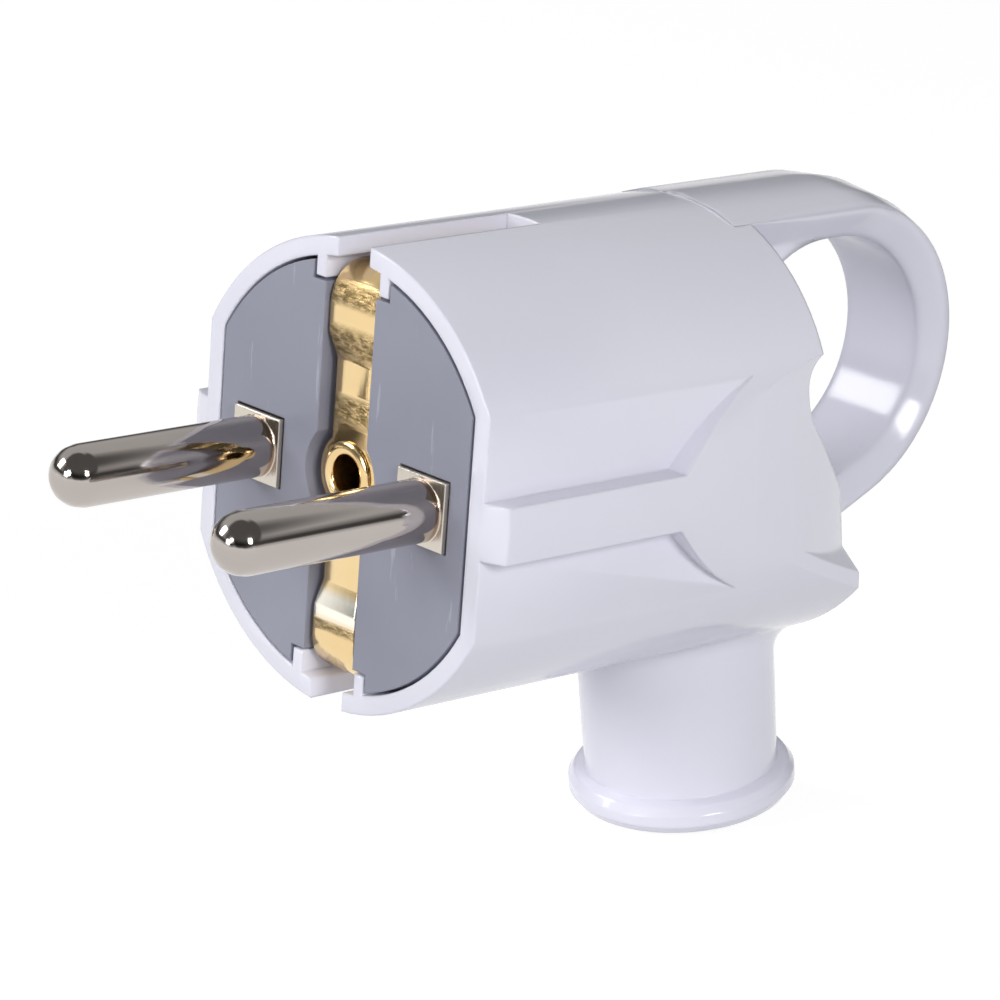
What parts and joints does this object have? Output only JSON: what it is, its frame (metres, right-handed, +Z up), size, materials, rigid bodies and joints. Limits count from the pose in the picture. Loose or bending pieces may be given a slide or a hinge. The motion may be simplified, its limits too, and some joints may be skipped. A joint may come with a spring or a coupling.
{
  "type": "type f plug",
  "caption": "Angled rewirable mains plug with round pins, an earthing strip around its face, a finger ring at the back and a cable outlet pointing down.",
  "frame": {"origin": "midway between the two pins, on the front face of their square shoulders", "axes": "the pins point to -Y, the finger ring is towards +Y, +Z is up and the cable outlet points down, +X is to the right for someone the pins point at"},
  "size_m": [0.0362, 0.08, 0.0516],
  "materials": {
    "housing": "moulded, glossy",
    "pin_carrier": "moulded, satin",
    "contact_pin_left": "nickel plated",
    "contact_pin_right": "nickel plated",
    "pin_screw_left": "zinc plated",
    "pin_screw_right": "zinc plated",
    "earth_strip": "bright, stamped",
    "earth_rivet": "bright",
    "earth_terminal": "stamped",
    "earth_washer": "zinc plated",
    "earth_screw": "zinc plated",
    "cord_grip": "moulded, satin",
    "grip_screw_left": "zinc plated",
    "grip_screw_right": "zinc plated"
  },
  "bodies": {
    "root": {"housing": "housing", "pin_carrier": "pin_carrier", "contact_pin_left": "contact_pin_left", "contact_pin_right": "contact_pin_right", "pin_screw_left": "pin_screw_left", "pin_screw_right": "pin_screw_right", "earth_strip": "earth_strip", "earth_rivet": "earth_rivet", "earth_terminal": "earth_terminal", "earth_washer": "earth_washer", "earth_screw": "earth_screw", "cord_grip": "cord_grip", "grip_screw_left": "grip_screw_left", "grip_screw_right": "grip_screw_right"}
  },
  "joints": []
}
